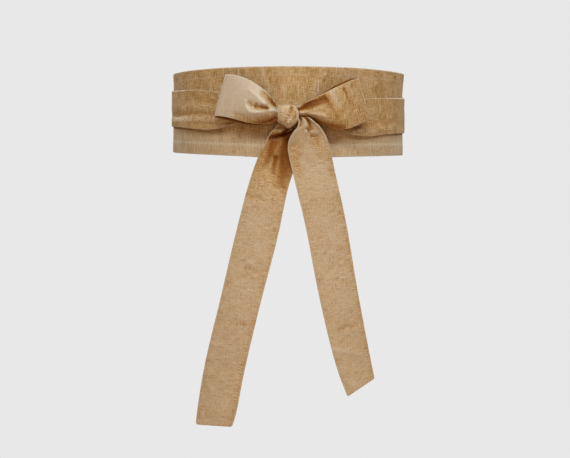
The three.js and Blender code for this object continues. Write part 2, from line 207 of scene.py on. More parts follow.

# %% [markdown]
# ## From a surface to a sheet of cloth
# A belt and its ties are sewn as tubes, turned right side out and pressed flat. So each stretch
# has two skins that meet in a soft rounded edge. A Solidify modifier would give square edges, so
# the two skins are built here: both follow one middle surface, and the distance between them falls
# to nothing over the last stretch before each edge, along a quarter circle. Each point also
# remembers where it lies on the flat cloth, in millimetres, so that the weave can follow it, and
# how much light or shade is painted on it: painted shade in its folds, a painted sheen on its
# ridges and flat faces, and a painted highlight along its edges.

# %% Places on a sheet of cloth
EDGE = 0.9  # the width of the rounded edge
EDGE_STEPS = 4


def stations(length, step):
    """Places along a strip as shares of its length, close together in its rounded ends."""
    corner = EDGE * (1 - np.cos(np.linspace(0, np.pi / 2, EDGE_STEPS + 1)))[:-1]
    inner = np.linspace(EDGE, length - EDGE, int(np.ceil((length - 2 * EDGE) / step)) + 1)
    return np.concatenate([corner, inner, (length - corner)[::-1]]) / length


def fullness(places):
    """How thick the cloth is near an edge, as a share: 0 at the edge and 1 past its rounding."""
    inside = np.clip(np.minimum(places, places[-1] - places) / EDGE, 0, 1)
    return np.sqrt(1 - (1 - inside) ** 2)


def arc_length(middle):
    """The length along the middle line of a grid, at each of its rows."""
    line = middle[:, middle.shape[1] // 2]
    return np.concatenate([[0], np.cumsum(np.linalg.norm(np.diff(line, axis=0), axis=1))])


def facing(middle, looped):
    """The way the cloth faces at each point of its grid. A looped grid's last row meets its first."""
    way_along = np.gradient(np.pad(middle, ((1, 1), (0, 0), (0, 0)), "wrap"), axis=0)[1:-1]
    if not looped:
        way_along = np.gradient(middle, axis=0)
    normal = np.cross(way_along, np.gradient(middle, axis=1))
    return normal / np.maximum(np.linalg.norm(normal, axis=-1, keepdims=True), 1e-9)


def raised(middle, height, looped=False):
    """The grid with each point moved by height, the way the cloth faces there."""
    return middle + facing(middle, looped) * np.asarray(height)[..., None]


print("stations across a tie, in mm:", (stations(TIE_WIDTH, 5) * TIE_WIDTH).round(2))

# %% Building a sheet of cloth
FOLD_DEPTH = 3.2  # a fold this deep is painted with shade of -1 at its bottom
# the painted light is held between this much painted shade and this much painted sheen
DEEPEST_PAINTED_SHADE, HIGHEST_PAINTED_SHEEN = -2, 1
EDGE_HIGHLIGHT = 0.5  # a painted highlight along the edges of the cloth: how much the painted light rises there


def sheet_of(name, middle, wall, along, across, painted_light, looped=False, bulk=0.0):
    """
    A closed sheet on a grid of middle points, which lie at the flat places along and across.
    The painted light of each point is painted shade below 0, deepest in a fold, and a painted sheen up
    to 1, on a ridge.
    bulk is what is added to the wall, point by point, such as a seam allowance inside.
    """
    rows, columns = middle.shape[:2]
    normal = facing(middle, looped)
    full = np.outer(np.ones(rows) if looped else fullness(along), fullness(across))
    half = (full * (wall + bulk) / 2)[..., None]
    front, back = middle + normal * half, middle - normal * half

    rim = np.zeros((rows, columns), bool)
    rim[:, [0, -1]] = True
    if not looped:
        rim[[0, -1], :] = True
    front_id = np.arange(rows * columns).reshape(rows, columns)
    back_id = front_id.copy()
    back_id[~rim] = rows * columns + np.arange((~rim).sum())
    points = np.concatenate([front.reshape(-1, 3), back[~rim]]) * MM

    flat = np.stack(np.meshgrid(along, across, indexing="ij"), axis=-1)
    flat = np.concatenate([flat.reshape(-1, 2), flat[~rim]])
    # Painted light: a painted highlight is added along both edges, and the whole is kept as the third
    # number of flat_cloth.
    edge_highlight = EDGE_HIGHLIGHT * np.exp(-((np.minimum(across, across[-1] - across) / EDGE) ** 2))
    painted_light = np.clip(painted_light, DEEPEST_PAINTED_SHADE, HIGHEST_PAINTED_SHEEN) + np.broadcast_to(edge_highlight, (rows, columns))
    painted_light = np.concatenate([painted_light.ravel(), painted_light[~rim]])
    flat_cloth = np.column_stack([flat, painted_light])

    here, then = np.arange(rows), np.roll(np.arange(rows), -1)
    if not looped:
        here, then = here[:-1], then[:-1]
    corners = ((here, 0), (then, 0), (then, 1), (here, 1))

    def quads(ids, order):
        picked = [ids[r][:, c : columns - 1 + c] for r, c in (corners[k] for k in order)]
        return np.stack(picked, axis=-1).reshape(-1, 4)

    faces = np.concatenate([quads(front_id, (0, 1, 2, 3)), quads(back_id, (3, 2, 1, 0))])
    mesh = bpy.data.meshes.new(name)
    mesh.from_pydata(points.tolist(), [], faces.tolist())
    mesh.attributes.new("flat_cloth", "FLOAT_VECTOR", "POINT")
    mesh.attributes["flat_cloth"].data.foreach_set("vector", flat_cloth.ravel())
    mesh.polygons.foreach_set("use_smooth", np.ones(len(mesh.polygons), bool))
    mesh.update()
    piece = bpy.data.objects.new(name, mesh)
    bpy.context.scene.collection.objects.link(piece)
    print(f"{name}: {len(mesh.vertices)} points, {len(mesh.polygons)} faces")
    return piece


# %% [markdown]
# ## Shader maths as sums
# A material in Blender is a net of nodes. It could be wired by hand in the shader editor, or node
# by node in Python, where a sum of three masks takes a dozen lines. The class below wraps one
# output, so that `1 - mask * 2` adds its Math nodes by itself.

# %% A wire between shader nodes
class Wire:
    """One output of a material's node. Arithmetic on it adds Math nodes."""

    def __init__(self, tree, socket):
        self.tree, self.socket = tree, socket

    def node(self, kind, settings=None, out=0, **values):
        """Adds a node: its settings first, then its sockets, by name or as i0, i1 and so on."""
        made = self.tree.nodes.new(kind)
        for key, value in (settings or {}).items():
            setattr(made, key, value)
        for key, value in values.items():
            where = int(key[1:]) if key[0] == "i" and key[1:].isdigit() else key.replace("_", " ")
            if isinstance(value, Wire):
                self.tree.links.new(value.socket, made.inputs[where])
            else:
                made.inputs[where].default_value = value
        return Wire(self.tree, made.outputs[out])

    def maths(self, operation, a, b):
        """A Math node on two wires or numbers."""
        return self.node("ShaderNodeMath", {"operation": operation}, i0=a, i1=b)

    def __add__(self, other):
        return self.maths("ADD", self, other)

    def __sub__(self, other):
        return self.maths("SUBTRACT", self, other)

    def __rsub__(self, other):
        return self.maths("SUBTRACT", other, self)

    def __mul__(self, other):
        return self.maths("MULTIPLY", self, other)

    __radd__, __rmul__ = __add__, __mul__

    def between(self, low, high):
        """0 below low, 1 above high, and smooth from one to the other."""
        settings = {"interpolation_type": "SMOOTHSTEP"}
        return self.node("ShaderNodeMapRange", settings, i0=self, i1=low, i2=high)

    def stretched(self, x, y, z=1.0):
        """A place, with each of its numbers multiplied."""
        return self.node("ShaderNodeVectorMath", {"operation": "MULTIPLY"}, i0=self, i1=(x, y, z))

    def noise(self, scale=1.0):
        """Noise at a place, from about 0.2 to 0.8."""
        settings = {"noise_dimensions": "3D"}
        return self.node("ShaderNodeTexNoise", settings, Vector=self, Scale=scale, Detail=1)

    def marks(self, along, across, tones=None):
        """Noise drawn out to marks this long each way, cut off below and above its two tones."""
        noise = self.stretched(1 / along, 1 / across).noise()
        return noise.between(*tones) if tones else noise

    def blend(self, low, high):
        """A colour that goes from low to high with this number."""
        return self.node("ShaderNodeMix", {"data_type": "RGBA"}, out=2, i0=self, i6=low, i7=high)


print("a Wire can:", ", ".join(name for name in vars(Wire) if "__" not in name))

# %% [markdown]
# ## Slubbed silk
# This silk is woven from uneven threads. The cross threads have slubs, thicker soft places some
# centimetres long, which show as fine raised lines across the strip. The long threads are even
# and fine. The silk is a little paler where threads stand up and a deeper gold between them, and
# it keeps the faint cloudiness of hand reeling. Light and shade are also painted into its colour:
# a pale painted sheen on ridges, edges and flat faces, where its weave shows less, and in a fold a
# painted shade, a deeper gold with fine streaks, and brown at the bottom. All of this is made from
# noise that is drawn out along one thread or the other, in the flat cloth's own millimetres, so
# the weave bends with every fold. Wave textures would be simpler, but their even spacing looks
# like a machine-made twill.

# %% The silk
# Colours: the two fold colours are painted shade, the weave's two golds are its own tones, and the last
# is a painted sheen.
SHADED_FOLD_BROWN = (0.135, 0.043, 0.007, 1)
SHADED_FOLD_GOLD = (0.36, 0.165, 0.020, 1)
DEEP_GOLD = (0.25, 0.136, 0.033, 1)
PALE_GOLD = (0.61, 0.455, 0.235, 1)
PAINTED_SHEEN = (0.580, 0.540, 0.450, 1)

# Marks: how long they are along the tie and across it, in millimetres, and their two tones.
CROSS_THREADS = (0.55, 9)
LONG_THREADS = (8, 0.6)
CLOUDS = (15, 34, (0.30, 0.70))
SLUBS = (0.9, 30, (0.60, 0.70))
STREAKS = (0.7, 6, (0.36, 0.66))
GRAIN_SCALE = 1.6  # specks to a millimetre
CROSS_SHARE, LONG_SHARE, GRAIN_SHARE = 0.40, 0.32, 0.28
WEAVE_TONES = (0.37, 0.63)
STREAK_SHARE = 0.45  # of the tone of the painted shade in a fold

# How the painted light changes the silk: from which level to which.
CALM_SHEEN_LEVELS, CALMED = (0, 0.5), 0.45  # the share of the weave's contrast that is lost under the painted sheen
GOLD_SHADE_LEVELS, BROWN_SHADE_LEVELS = (0, 0.75), (0.7, 1.7)  # how deep the painted shade is, below 0, where its gold and then its brown come in
# the painted sheen, and the most of the colour that it takes
SHEEN_LEVELS, MOST_SHEEN_SHARE = (-0.15, 1.0), 0.9
SHEEN_ON_THREADS, SHEEN_ON_SLUBS = 0.7, 0.6  # the painted sheen reaches raised threads and slubs first

ROUGHNESS, SLUB_GLOSS = 0.5, 0.1
CROSS_RELIEF, LONG_RELIEF, SLUB_RELIEF, GRAIN_RELIEF = 0.5, 0.3, 0.5, 0.1
RELIEF_DEPTH = 0.0002  # metres
SHINE = {
    "Specular IOR Level": 0.36,
    "Sheen Weight": 0.05,
    "Sheen Roughness": 0.4,
    "Sheen Tint": (1.0, 0.86, 0.66, 1),
}


def silk(name, seed, cloudiness, slubbed):
    """The silk, with its own seed, and so cloudy and so slubbed."""
    material = bpy.data.materials.new(name)
    material.use_nodes = True
    tree = material.node_tree
    shader = tree.nodes["Principled BSDF"]
    start = Wire(tree, None)
    flat_cloth = start.node("ShaderNodeAttribute", {"attribute_name": "flat_cloth"}, out="Vector")
    # the third number of flat_cloth is the painted light
    painted_light = start.node("ShaderNodeSeparateXYZ", out="Z", Vector=flat_cloth)
    place = flat_cloth.stretched(1, 1, 0)
    place = place.node("ShaderNodeVectorMath", {"operation": "ADD"}, i0=place, i1=(0, 0, seed))

    cross_threads = place.marks(*CROSS_THREADS)
    long_threads = place.marks(*LONG_THREADS)
    grain = place.noise(GRAIN_SCALE)
    weave = CROSS_SHARE * cross_threads + LONG_SHARE * long_threads + GRAIN_SHARE * grain
    weave = weave.between(*WEAVE_TONES)
    clouds = place.marks(*CLOUDS)
    slubs = slubbed * place.marks(*SLUBS)
    streaks = place.marks(*STREAKS)

    calm = 1 - CALMED * painted_light.between(*CALM_SHEEN_LEVELS)
    tone = ((1 - cloudiness) * weave + cloudiness * clouds - 0.5) * calm + 0.5
    gold = tone.blend(DEEP_GOLD, PALE_GOLD)
    # Painted shade: folds are painted a deeper gold with streaks, brown at their bottom, and folded is
    # the colour with this painted shade.
    fold_tone = (1 - STREAK_SHARE) * tone + STREAK_SHARE * streaks
    shaded_fold_gold = fold_tone.blend(SHADED_FOLD_BROWN, SHADED_FOLD_GOLD)
    folded = (painted_light * -1).between(*GOLD_SHADE_LEVELS).blend(gold, shaded_fold_gold)
    folded = (painted_light * -1).between(*BROWN_SHADE_LEVELS).blend(folded, SHADED_FOLD_BROWN)
    # Painted sheen: pale says where the colour is painted paler, from the painted light, raised threads
    # and slubs.
    pale = painted_light + (tone - 0.5) * SHEEN_ON_THREADS + slubs * SHEEN_ON_SLUBS
    colour = (pale.between(*SHEEN_LEVELS) * MOST_SHEEN_SHARE).blend(folded, PAINTED_SHEEN)
    threads = cross_threads * CROSS_RELIEF + long_threads * LONG_RELIEF
    relief = threads + slubs * SLUB_RELIEF + grain * GRAIN_RELIEF
    bump = start.node("ShaderNodeBump", Strength=1.0, Distance=RELIEF_DEPTH, Height=relief)

    tree.links.new(colour.socket, shader.inputs["Base Color"])
    tree.links.new((ROUGHNESS - SLUB_GLOSS * slubs).socket, shader.inputs["Roughness"])
    tree.links.new(bump.socket, shader.inputs["Normal"])
    for socket, value in SHINE.items():
        shader.inputs[socket].default_value = value
    print(name, "has", len(tree.nodes), "nodes")
    return material


PANEL_SILK = silk("panel silk", seed=3.0, cloudiness=0.22, slubbed=1.2)
TIE_SILK = silk("tie silk", seed=17.0, cloudiness=0.12, slubbed=0.35)


def dress(piece, material, node):
    """Gives a piece its silk, parents it to the root, and hides the part of the frame that it replaces.
    """
    piece.data.materials.append(material)
    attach(piece, "root")
    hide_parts(node)


# %% [markdown]
# ## The waist panel
# The panel is one shaped strip: two layers of silk with a stiffener between them, widest at the
# middle of the front and tapered to both ends, where the ties are sewn on. The stiffener keeps it
# from creasing, so it only has a soft unevenness. Inside, the seam allowances at the top and the
# bottom make the edge a little thicker, and that shows as a faint line along each edge, with a
# painted highlight along it. Below the ties a paler colour is painted on the panel, as painted
# light. It could be cut flat and bent by a cloth simulation, but it is worn tight, so it simply
# follows the waist.

# %% The waist panel
# turn is degrees round the waist, and flare how far the top edge stands off the figure.
PANEL = curves(
    "turn top bottom flare",
    [
        (-PANEL_END, 31, -31, 0),
        (-130, 39, -37.5, 0),
        (-90, 46.2, -41.8, 0.2),
        (-68, 47.6, -43.7, 0.3),
        (-30, 50.2, -47.6, 0.2),
        (0, 51, -50.4, 0),
        (30, 50.2, -48.8, 0.2),
        (68, 47.4, -46.4, 1),
        (90, 46.2, -45, 1.6),
        (130, 39, -38.5, 0),
        (PANEL_END, 31, -31, 0),
    ],
)
PANEL_LENGTH = 592.0  # about, to space its stations
PANEL_HEIGHT = 101.0
PANEL_STEP = 1.6
PANEL_SEED = 5
FLARE_FROM = 0.75  # the share of the height from which it flares
PANEL_UNEVEN = dict(height=0.22, shortest=26, longest=80, lean=1.8)
SEAM_ABOVE_HEM = 13.0
SEAM_BELOW_TOP = 9.5
SEAM_BULK = 0.45
SEAM_STEP = 1.6  # how far it takes the seam allowance to reach its full bulk
SEAM_HIGHLIGHT = 0.35  # a painted highlight along each seam allowance's edge
HEM_PAINTED_LIGHT, HEM_LIGHT_TOP = 0.37, 33.0  # painted light: below the ties the panel is painted paler, up to this height
HEM_LIGHT_FADE = 13.0


def waist_panel():
    """The panel, wrapped round the waist from its left end to its right one."""
    u = stations(PANEL_LENGTH, PANEL_STEP)[:, None]
    v = stations(PANEL_HEIGHT, PANEL_STEP)[None, :]
    turn = mix(-PANEL_END, PANEL_END, u)
    top, bottom = PANEL["top"](turn), PANEL["bottom"](turn)
    flare = PANEL["flare"](turn) * np.clip((v - FLARE_FROM) / (1 - FLARE_FROM), 0, 1)
    middle = around_waist(turn + 0 * v, mix(bottom, top, v), ON_FIGURE + flare)
    along, across = arc_length(middle), (v * PANEL_HEIGHT).ravel()
    middle = raised(middle, uneven(PANEL_SEED, along[:, None], across[None, :], **PANEL_UNEVEN))

    from_hem = (top - bottom) * v
    from_top = top - bottom - from_hem
    bulk = ease((SEAM_ABOVE_HEM - from_hem) / SEAM_STEP) + ease((SEAM_BELOW_TOP - from_top) / SEAM_STEP)
    # Painted light: a painted highlight along each seam line, and paler paint below the ties.
    line = np.exp(-((from_hem - SEAM_ABOVE_HEM) ** 2)) + np.exp(-((from_top - SEAM_BELOW_TOP) ** 2))
    painted_light = SEAM_HIGHLIGHT * line + HEM_PAINTED_LIGHT * ease((HEM_LIGHT_TOP - from_hem) / HEM_LIGHT_FADE)
    wall = PANEL_WALL - SEAM_BULK
    return sheet_of("waist_panel_silk", middle, wall, along, across, painted_light, bulk=SEAM_BULK * bulk)


panel = waist_panel()
dress(panel, PANEL_SILK, "waist_panel")

# %% [markdown]
# ## The ties round the waist
# Each tie starts at the seam on one end of the panel, crosses the other tie at the back and comes
# round over the panel. A tie is cut much narrower than the panel and has no stiffener, so it
# rolls a little along its lower edge, folds softly along its length, and is gathered where it
# changes places with the other tie and where it runs into the knot. Its route is a table of its
# two edges round the waist, because one strip bent by hand would slide off the place where the
# ties cross.

# %% The ties round the waist
# turn is degrees round the waist, out how far the tie's middle lies off the figure, and curl how
# far its lower edge rolls out.
ROUND_LEFT = curves(
    "turn top bottom out curl",
    [
        (204.8, 23, -23, ON_FIGURE, 0),
        (199.5, 7, -28.5, ON_FIGURE, 0),
        (197, -1.5, -31.5, ON_FIGURE, 0),
        (188, -1.5, -34, ON_PANEL, 0),
        (180, 8, -31, ON_PANEL, 0),
        (165, 22, -22.5, ON_PANEL, 0),
        (140, 28.5, -15, ON_PANEL, 0),
        (90, 27.3, -12.8, ON_PANEL, 0.2),
        (68, 26.6, -14.8, ON_PANEL, 1),
        (56, 26.8, -16.4, ON_PANEL + 0.1, 2.2),
        (41, 25, -18.6, ON_PANEL + 0.3, 3.4),
        (35, 23, -17.4, 3.6, 3),
        (29, 19.6, -14.8, 4, 2),
        (24, 16, -10.6, 4.2, 1),
        (10, 9, -7.6, 4.6, 0),
        (0.6, 6.5, -7, 4.8, 0),
    ],
)
ROUND_RIGHT = curves(
    "turn top bottom out curl",
    [
        (204.8, 23, -23, ON_FIGURE, 0),
        (195, 24, -20, ON_FIGURE, 0),
        (180, 29, -10, ON_FIGURE, 0),
        (172, 37, 1.5, ON_FIGURE, 0),
        (163, 38.5, 1.5, ON_PANEL, 0),
        (155, 39, -4, ON_PANEL, 0),
        (140, 36, -7, ON_PANEL, 0),
        (115, 26, -15.5, ON_PANEL, 0),
        (90, 19.3, -20, ON_PANEL + 0.2, 0),
        (55, 17.4, -23.4, ON_PANEL + 0.1, 0.4),
        (41, 16, -26.2, ON_PANEL + 0.2, 2),
        (32, 13.6, -24.4, 3.8, 3),
        (27, 12, -20.5, 4, 2.4),
        (20, 10, -13.5, 4.2, 1),
        (10, 8, -9, 4.6, 0),
        (0.6, 6.5, -7, 4.8, 0),
    ],
)
ROUND_LENGTH = 400.0  # about, to space its stations
ROUND_STEP = 1.1
TURN_FIRST, TURN_LAST = 204.8, 0.6
GATHER_FROM = 30.0  # degrees from the middle of the front
GATHER_HEIGHT = 1.2
GATHER_PLEATS = 2
ROUND_UNEVEN = dict(height=0.14, shortest=14, longest=50, lean=1.4)
DEEPEST_IN = 0.25  # how far a tie can be pressed in and still clear the panel
FREE_AFTER = 30.0  # degrees from its seam, before which it is held and pressed in less
ROUND_SHADE = 0.5  # the painted shade in its shallow creases is weaker than in the bow's

# Creases by (degrees round the waist, millimetres down the tie).
CREASES_LEFT = [
    (1.5, 3.2, (30, 29), (47, 28), (72, 32), (96, 30)),
    (-1.2, 3.6, (30, 35), (50, 37), (80, 40)),
    (1.3, 2.6, (28, 41), (40, 39), (50, 40)),
    (1.0, 5, (40, 12), (56, 14)),
    (-0.6, 5, (44, 22), (90, 20)),
    (1.4, 3, (192, 12), (176, 15), (150, 20)),
    (-0.8, 3, (190, 20), (172, 22), (150, 26)),
    (1.2, 3, (192, 29), (176, 31), (152, 34)),
    (0.5, 4, (130, 14), (96, 18)),
]
CREASES_RIGHT = [
    (1.3, 4, (36, 35), (48, 32), (66, 30)),
    (-1.0, 4, (36, 41), (60, 40)),
    (-0.8, 4, (30, 20), (50, 16)),
    (0.5, 6, (62, 10), (100, 14)),
    (1.3, 3, (168, 12), (152, 14), (128, 18)),
    (-0.7, 3, (168, 22), (146, 24)),
    (1.1, 3, (166, 30), (150, 31), (120, 30)),
    (0.9, 3, (172, 20), (196, 23)),
]


def tie_round(name, tie, creases, side, seed):
    """A tie from its seam behind to the knot. side is -1 on the left and 1 on the right."""
    u = stations(ROUND_LENGTH, ROUND_STEP)[:, None]
    v = stations(TIE_WIDTH, ROUND_STEP)[None, :]
    turn = mix(TURN_FIRST, TURN_LAST, u)
    lower = v if side > 0 else 1 - v
    gather = ease(1 - turn / GATHER_FROM)
    pleats = GATHER_HEIGHT * gather * np.sin(2 * GATHER_PLEATS * np.pi * lower)
    pressed = creased(creases, turn, lower * TIE_WIDTH)
    loose = ease((TURN_FIRST - turn) / FREE_AFTER) * (1 - gather)
    soft = uneven(seed, turn * 2, lower * TIE_WIDTH, **ROUND_UNEVEN)
    lift = pleats + tie["curl"](turn) * lower**2 - pressed + soft
    lift = np.maximum(lift, -DEEPEST_IN * loose)
    height = mix(tie["top"](turn), tie["bottom"](turn), lower)
    middle = around_waist(side * turn + 0 * v, height, tie["out"](turn) + lift)
    # Painted shade in the creases.
    painted_light = -ROUND_SHADE * pressed / FOLD_DEPTH
    return sheet_of(name, middle, TIE_WALL, arc_length(middle), (v * TIE_WIDTH).ravel(), painted_light)


left_round = tie_round("tie_round_left_silk", ROUND_LEFT, CREASES_LEFT, side=-1, seed=11)
right_round = tie_round("tie_round_right_silk", ROUND_RIGHT, CREASES_RIGHT, side=1, seed=12)
for tie, node in ((left_round, "tie_round_left"), (right_round, "tie_round_right")):
    dress(tie, TIE_SILK, node)

# %% [markdown]
# ## The loops of the bow
# A loop is the tie folded back on itself: the front layer comes out of the knot, turns round a
# soft outer fold, and the back layer returns behind it. Both are gathered hard at the knot, and
# pleats run out from there and die away. A loop could be a flat shape with thickness, but then
# nothing would show between its layers from above or below, so it is one strip that goes round.

# %% The loops of the bow
# at is the share of the loop's length, from the knot to the fold. front and back are how far the
# two layers stand off the figure, and slip how far the back layer has slid up behind the front.
LOOP_COLUMNS = "at top_x top_z bottom_x bottom_z front back slip"
LOOP_LEFT = curves(
    LOOP_COLUMNS,
    [
        (0, -1.2, 3.4, -1.2, -8, 18.8, 14.4, 0),
        (0.15, -12.8, 5, -13.8, -10.9, 19.4, 13.2, 0),
        (0.2, -15, 10.8, -18, -12.6, 21.8, 12, 0),
        (0.3, -20.5, 18.6, -25, -13.4, 24.5, 10.4, -0.6),
        (0.45, -31, 27.6, -37, -13, 25, 9.2, -1.4),
        (0.6, -41.5, 34.5, -49, -10.7, 23.5, 9, -2.4),
        (0.75, -51.5, 38.8, -60, -7.5, 21, 9.6, -3),
        (0.9, -62, 41.5, -73, -4.6, 18.6, 11, -2.4),
        (1, -68.9, 41.9, -81.2, -3.7, 17.6, 11.8, -1.6),
    ],
)
LOOP_RIGHT = curves(
    LOOP_COLUMNS,
    [
        (0, 1.2, 3.8, 1.2, -2.6, 18.6, 14.4, 0),
        (0.12, 11.6, 4, 12, -3, 18.8, 13.8, 0),
        (0.2, 17.6, 9.4, 19, -6.6, 20, 12.2, 0.3),
        (0.3, 26, 14, 28, -10, 21.8, 10, 0.8),
        (0.45, 38.5, 20.2, 41, -15.5, 23, 8.6, 1.4),
        (0.6, 51.5, 26.7, 54, -19.4, 22.6, 8.4, 2.8),
        (0.75, 62, 31.7, 66, -18.2, 21.4, 9.2, 3.0),
        (0.88, 70.5, 35.5, 78.5, -13.4, 19.6, 10.8, 2.0),
        (1, 77.5, 37.7, 90.4, -7.8, 17.6, 12, 0.6),
    ],
)
LOOP_LENGTH = 80.0  # of each layer, about, to space its stations
LOOP_STEP = 0.8
FOLD_SHARE = 0.04  # the part of a loop's length in which it turns back on itself
TURN_BACK = 0.05  # half the share of the strip that goes round the fold
NECK_PINCH, FOLD_PINCH = 0.8, 0.15  # how far the layers close at their edges, at either end
LAYER_GAP = 0.5  # what the creases leave between the two layers
LOOP_UNEVEN = dict(height=0.18, shortest=10, longest=36)
LAYERS_APART = 20.0  # keeps the unevenness of one layer from repeating that of the other
FRONT_SIDE = -0.2  # how far round the fold, from 1 to -1, the painted light of the front layer reaches
INSIDE_SHADE = -1.0  # painted shade: the back layer is painted the deep gold of a shaded fold
SHEEN_LEFT, SHEEN_RIGHT = 0.72, -0.02  # painted sheen: the left loop is painted pale, the right one is not

# Creases by (x, z) in millimetres, as the bow is seen from the front.
FRONT_LEFT = [
    (-1.4, 1.6, (-12.5, 8.8), (-20, 18), (-32, 29)),
    (6.6, 4.3, (-13.5, 8), (-19, 12.6), (-26, 19)),
    (-1.6, 2.0, (-13, 3.0), (-22, 5.6), (-28, 9.6), (-33, 15.2), (-42, 23)),
    (4.4, 3.6, (-24, 3.8), (-33, 4.6), (-43, 8.8)),
    (-2.0, 1.5, (-12, -0.4), (-17.2, 1.4), (-22, 0.8), (-27, 0.6), (-33, -0.8), (-39, -1.2),
     (-43.5, 0.6), (-46.5, 6), (-47, 12)),
    (7.0, 9.4, (-14, -13), (-30, -15.5), (-54, -14)),
    (-0.9, 1.2, (-20, -3), (-22, -10)),
    (1.3, 1.1, (-35, 9), (-36.5, 1)),
    (-1.1, 1.0, (-38.5, 9), (-39.5, 2)),
    (-0.9, 0.9, (-31.5, 8), (-32.5, 2)),
    (0.9, 2, (-50, -4), (-62, -1)),
]
FRONT_RIGHT = [
    (-2.6, 2.2, (12.5, 8.8), (24, 15.5), (40, 23)),
    (6.4, 4.2, (12.4, 4.4), (20, 6.6), (29, 9.5), (38, 12)),
    (-2.8, 2.8, (13, -0.6), (22, -1.8), (30.5, -3), (44, -6)),
    (5.2, 5.6, (20, -8.5), (36, -15.5), (60, -19)),
    (2.0, 3.6, (40, 16), (46, 7), (54, -5)),
    (-1.6, 3.6, (48, 20), (57, 4)),
    (1.4, 2.4, (62, 24), (72, 4)),
    (-1.0, 2.0, (67, 27), (78, 6)),
]
BACK_LEFT = [
    (2.4, 5, (-12, 6), (-38, 18)),
    (2.4, 5, (-12, -6), (-40, 0)),
    (-1.2, 7, (-46, -14), (-70, -8)),
]
BACK_RIGHT = [
    (2.4, 5, (12, 4), (36, 12)),
    (2.4, 5, (14, -4), (40, -8)),
    (6.0, 4.5, (73, 38), (58, 31), (44, 24)),
]


def bow_loop(name, loop, front_creases, back_creases, side, sheen_and_shade, seed):
    """A loop, from the knot round its fold and back. side is -1 on the left, 1 on the right."""
    u = stations(2 * LOOP_LENGTH, LOOP_STEP)[:, None]
    v = stations(TIE_WIDTH, LOOP_STEP)[None, :]
    lower = v if side > 0 else 1 - v
    straight = 0.5 - TURN_BACK
    angle = np.clip((u - straight) / (2 * TURN_BACK), 0, 1) * np.pi
    share = np.where(
        np.abs(u - 0.5) < TURN_BACK,
        1 - FOLD_SHARE + FOLD_SHARE * np.sin(angle),
        np.minimum(u, 1 - u) / straight * (1 - FOLD_SHARE),
    )
    layer = np.cos(angle)  # 1 on the front layer and -1 on the back one
    pinch = mix(NECK_PINCH, FOLD_PINCH, share) * (2 * lower - 1) ** 2
    half = (loop["front"](share) - loop["back"](share)) / 2 * (1 - pinch)
    centre = (loop["front"](share) + loop["back"](share)) / 2

    from_knot, down = share * LOOP_LENGTH, lower * TIE_WIDTH
    soft = uneven(seed, from_knot, down + LAYERS_APART * layer, **LOOP_UNEVEN)
    slip = loop["slip"](share) * (1 - layer) / 2
    x = mix(loop["top_x"](share), loop["bottom_x"](share), lower)
    z = mix(loop["top_z"](share), loop["bottom_z"](share), lower) + slip
    pressed = np.where(layer > 0, creased(front_creases, x, z), creased(back_creases, x, z))
    pressed_in = np.minimum(pressed, 2 * half - TIE_WALL - LAYER_GAP)
    middle = on_front(x, z, centre + layer * (half - pressed_in * np.abs(layer)) + soft)
    # Painted light: the front's painted sheen less painted shade in its creases, and painted shade on
    # the back layer.
    painted_light = np.where(layer > FRONT_SIDE, sheen_and_shade - pressed / FOLD_DEPTH, INSIDE_SHADE)
    return sheet_of(name, middle, TIE_WALL, arc_length(middle), (v * TIE_WIDTH).ravel(), painted_light)


left_loop = bow_loop(
    "bow_loop_left_silk", LOOP_LEFT, FRONT_LEFT, BACK_LEFT, side=-1, sheen_and_shade=SHEEN_LEFT, seed=21
)
right_loop = bow_loop(
    "bow_loop_right_silk", LOOP_RIGHT, FRONT_RIGHT, BACK_RIGHT, side=1, sheen_and_shade=SHEEN_RIGHT, seed=22
)
for loop, node in ((left_loop, "bow_loop_left"), (right_loop, "bow_loop_right")):
    dress(loop, TIE_SILK, node)

# %% [markdown]
# ## The tails
# What is left of each tie hangs down from the knot. The right one comes out of the knot's side,
# in front, and the left one from under it, behind. Both fan out from gathers and then fall nearly
# flat over the figure, with only faint creases where the cloth was folded away. A simulation
# would let them fall by themselves, but their few folds each have a place, so they are given it.

# %% The tails
# at is the share of the tail's length, and out how far its middle hangs off the figure.
TAIL_COLUMNS = "at left_x left_z right_x right_z out"
TAIL_LEFT = curves(
    TAIL_COLUMNS,
    [
        (0, -8, -8.8, 4.5, -9.4, 5.9),
        (0.022, -13.8, -15.6, 6.5, -18, 6.4),
        (0.045, -19.2, -22.6, 8, -25.5, 7.8),
        (0.07, -23.4, -29.4, 9, -33.5, 8.6),
        (0.1, -27, -37.2, 9.2, -43, 8.6),
        (0.14, -32.6, -48.2, 8, -56, 7.6),
        (0.2, -41.5, -72.5, 0, -83.5, 5.2),
        (0.36, -55.8, -125.3, -11.2, -136, 2.6),
        (0.6, -74.5, -204.5, -31.6, -215, 1.8),
        (0.84, -93.2, -283.7, -50, -294, 2.2),
        (0.96, -99.8, -323.3, -57.6, -333, 3),
        (1, -102.5, -345, -62, -347, 3.4),
    ],
)
TAIL_RIGHT = curves(
    TAIL_COLUMNS,
    [
        (0, 6.4, -10.2, 6.4, -5.4, 17.4),
        (0.02, 11.8, -10.2, 13, -4.8, 18.6),
        (0.045, 9.6, -17.4, 21.6, -6, 21.4),
        (0.07, 5.2, -22.6, 28, -10.2, 21),
        (0.095, 1.9, -28, 34.6, -15.8, 19.2),
        (0.12, 0, -33.8, 39.5, -22.4, 17),
        (0.15, -0.6, -40, 43.6, -31, 15),
        (0.19, 1, -50.5, 46.8, -42.5, 13.4),
        (0.26, 6.3, -72.5, 51.2, -63.7, 10),
        (0.42, 19, -125.3, 62.9, -116.5, 4),
        (0.67, 34.4, -204.5, 76.5, -196, 2.2),
        (0.9, 54.2, -283.7, 91, -272, 2.2),
        (1, 65.4, -313.7, 95.5, -294, 2.8),
    ],
)

